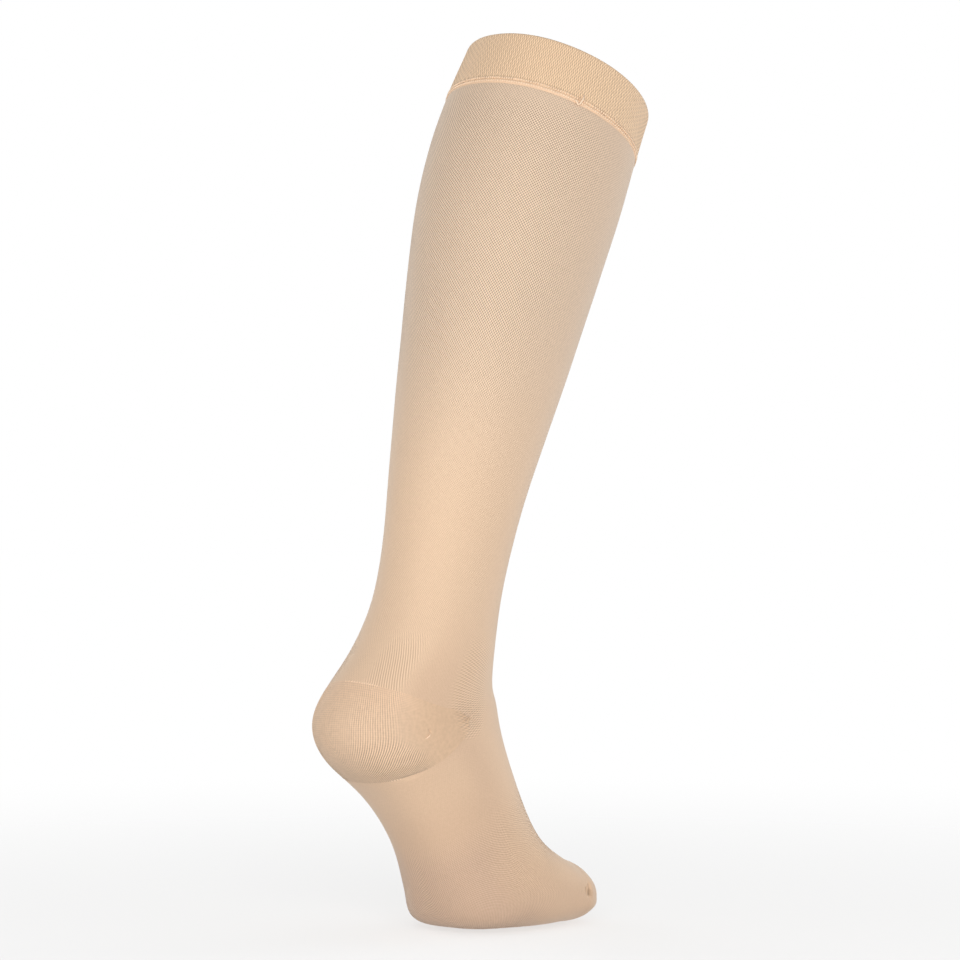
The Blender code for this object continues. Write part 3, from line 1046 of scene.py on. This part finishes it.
def studio_stage(studio):
    """Camera, soft lights, white surroundings and a pale floor."""
    scene = bpy.context.scene
    camera = bpy.data.cameras.new("camera")
    camera.lens = studio.lens
    camera.sensor_width = 36
    scene.camera = placed("camera", camera, studio.eye, studio.aim)
    scene.view_settings.view_transform = "Standard"

    aim = Vector(studio.aim)
    soft_light("key light", beside(studio, 0, 1.7, 0.2), aim, 1.0, studio.key)
    soft_light("left rim light", beside(studio, -136, 1.9, 0.3), aim, 1.2, studio.rim * 0.7)
    soft_light("right rim light", beside(studio, 126, 1.9, 0.0), aim, 1.2, studio.rim)
    soft_light("top light", aim + Vector((0, 0, 2.2)), aim, 1.8, studio.top)

    world = bpy.data.worlds.new("studio")
    world.use_nodes = True
    scene.world = world
    nodes, links = world.node_tree.nodes, world.node_tree.links
    lighting = nodes["Background"]
    lighting.inputs["Strength"].default_value = studio.ambient
    lighting.inputs["Color"].default_value = (1, 1, 1, 1)
    backdrop = nodes.new("ShaderNodeBackground")
    backdrop.inputs["Color"].default_value = (1, 1, 1, 1)
    rays = nodes.new("ShaderNodeLightPath")
    choose = nodes.new("ShaderNodeMixShader")
    links.new(rays.outputs["Is Camera Ray"], choose.inputs[0])
    links.new(lighting.outputs[0], choose.inputs[1])
    links.new(backdrop.outputs[0], choose.inputs[2])
    links.new(choose.outputs[0], nodes["World Output"].inputs["Surface"])

    work = bmesh.new()
    floor_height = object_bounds()[0][2] - FLOOR_GAP
    bmesh.ops.create_circle(work, cap_ends=True, segments=96, radius=14)
    bmesh.ops.translate(work, verts=work.verts, vec=(*FLOOR_MIDDLE[:2], floor_height))
    floor = object_from("floor", work, floor_finish())
    floor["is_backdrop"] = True


# ---------------------------------------------------------------------------------------------
# Add-on


class STOCKING_OT_leg_and_foot(bpy.types.Operator):
    """Knit the seamless tube of the leg and foot"""

    bl_idname = "stocking.leg_and_foot"
    bl_label = "Leg and Foot"

    def execute(self, context):
        leg_and_foot(context.scene.stocking)
        return {"FINISHED"}


class STOCKING_OT_heel_pocket(bpy.types.Operator):
    """Knit the ribbed pocket at the heel"""

    bl_idname = "stocking.heel_pocket"
    bl_label = "Heel Pocket"

    def execute(self, context):
        heel_pocket(context.scene.stocking)
        return {"FINISHED"}


class STOCKING_OT_top_band(bpy.types.Operator):
    """Knit the double band at the opening"""

    bl_idname = "stocking.top_band"
    bl_label = "Top Band"

    def execute(self, context):
        top_band(context.scene.stocking)
        return {"FINISHED"}


class STOCKING_OT_band_seam(bpy.types.Operator):
    """Link the band to the leg"""

    bl_idname = "stocking.band_seam"
    bl_label = "Band Seam"

    def execute(self, context):
        band_seam(context.scene.stocking)
        return {"FINISHED"}


class STOCKING_OT_toe_seam(bpy.types.Operator):
    """Link the toe shut"""

    bl_idname = "stocking.toe_seam"
    bl_label = "Toe Seam"

    def execute(self, context):
        toe_seam(context.scene.stocking)
        return {"FINISHED"}


class STOCKING_OT_heel_stitches(bpy.types.Operator):
    """Add the loops that show at the edges of the heel pocket"""

    bl_idname = "stocking.heel_stitches"
    bl_label = "Heel Stitches"

    def execute(self, context):
        heel_stitches(context.scene.stocking)
        return {"FINISHED"}


class STOCKING_OT_studio(bpy.types.Operator):
    """Set up the camera, lights, backdrop and floor"""

    bl_idname = "stocking.studio"
    bl_label = "Studio"

    def execute(self, context):
        studio_stage(context.scene.stocking_studio)
        return {"FINISHED"}


class STOCKING_PT_panel(bpy.types.Panel):
    """Lists the stocking's pieces and settings"""

    bl_label = "Compression Stocking"
    bl_idname = "STOCKING_PT_panel"
    bl_space_type = "VIEW_3D"
    bl_region_type = "UI"
    bl_category = "Stocking"

    def draw(self, context):
        layout = self.layout
        for operator in OPERATORS:
            layout.operator(operator.bl_idname)
        for group in (context.scene.stocking, context.scene.stocking_studio):
            box = layout.box()
            for name in group.bl_rna.properties.keys():
                if name not in ("rna_type", "name"):
                    box.prop(group, name)


OPERATORS = (
    STOCKING_OT_leg_and_foot,
    STOCKING_OT_heel_pocket,
    STOCKING_OT_top_band,
    STOCKING_OT_band_seam,
    STOCKING_OT_toe_seam,
    STOCKING_OT_heel_stitches,
    STOCKING_OT_studio,
)
CLASSES = (StockingSettings, StudioSettings, *OPERATORS, STOCKING_PT_panel)


def register():
    for item in CLASSES:
        bpy.utils.register_class(item)
    bpy.types.Scene.stocking = PointerProperty(type=StockingSettings)
    bpy.types.Scene.stocking_studio = PointerProperty(type=StudioSettings)


def unregister():
    del bpy.types.Scene.stocking_studio
    del bpy.types.Scene.stocking
    for item in reversed(CLASSES):
        bpy.utils.unregister_class(item)


def main():
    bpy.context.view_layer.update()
    register()
    bpy.ops.stocking.studio()
    bpy.ops.stocking.leg_and_foot()
    bpy.ops.stocking.heel_pocket()
    bpy.ops.stocking.top_band()
    bpy.ops.stocking.band_seam()
    bpy.ops.stocking.toe_seam()
    bpy.ops.stocking.heel_stitches()


if __name__ == "__main__":
    main()
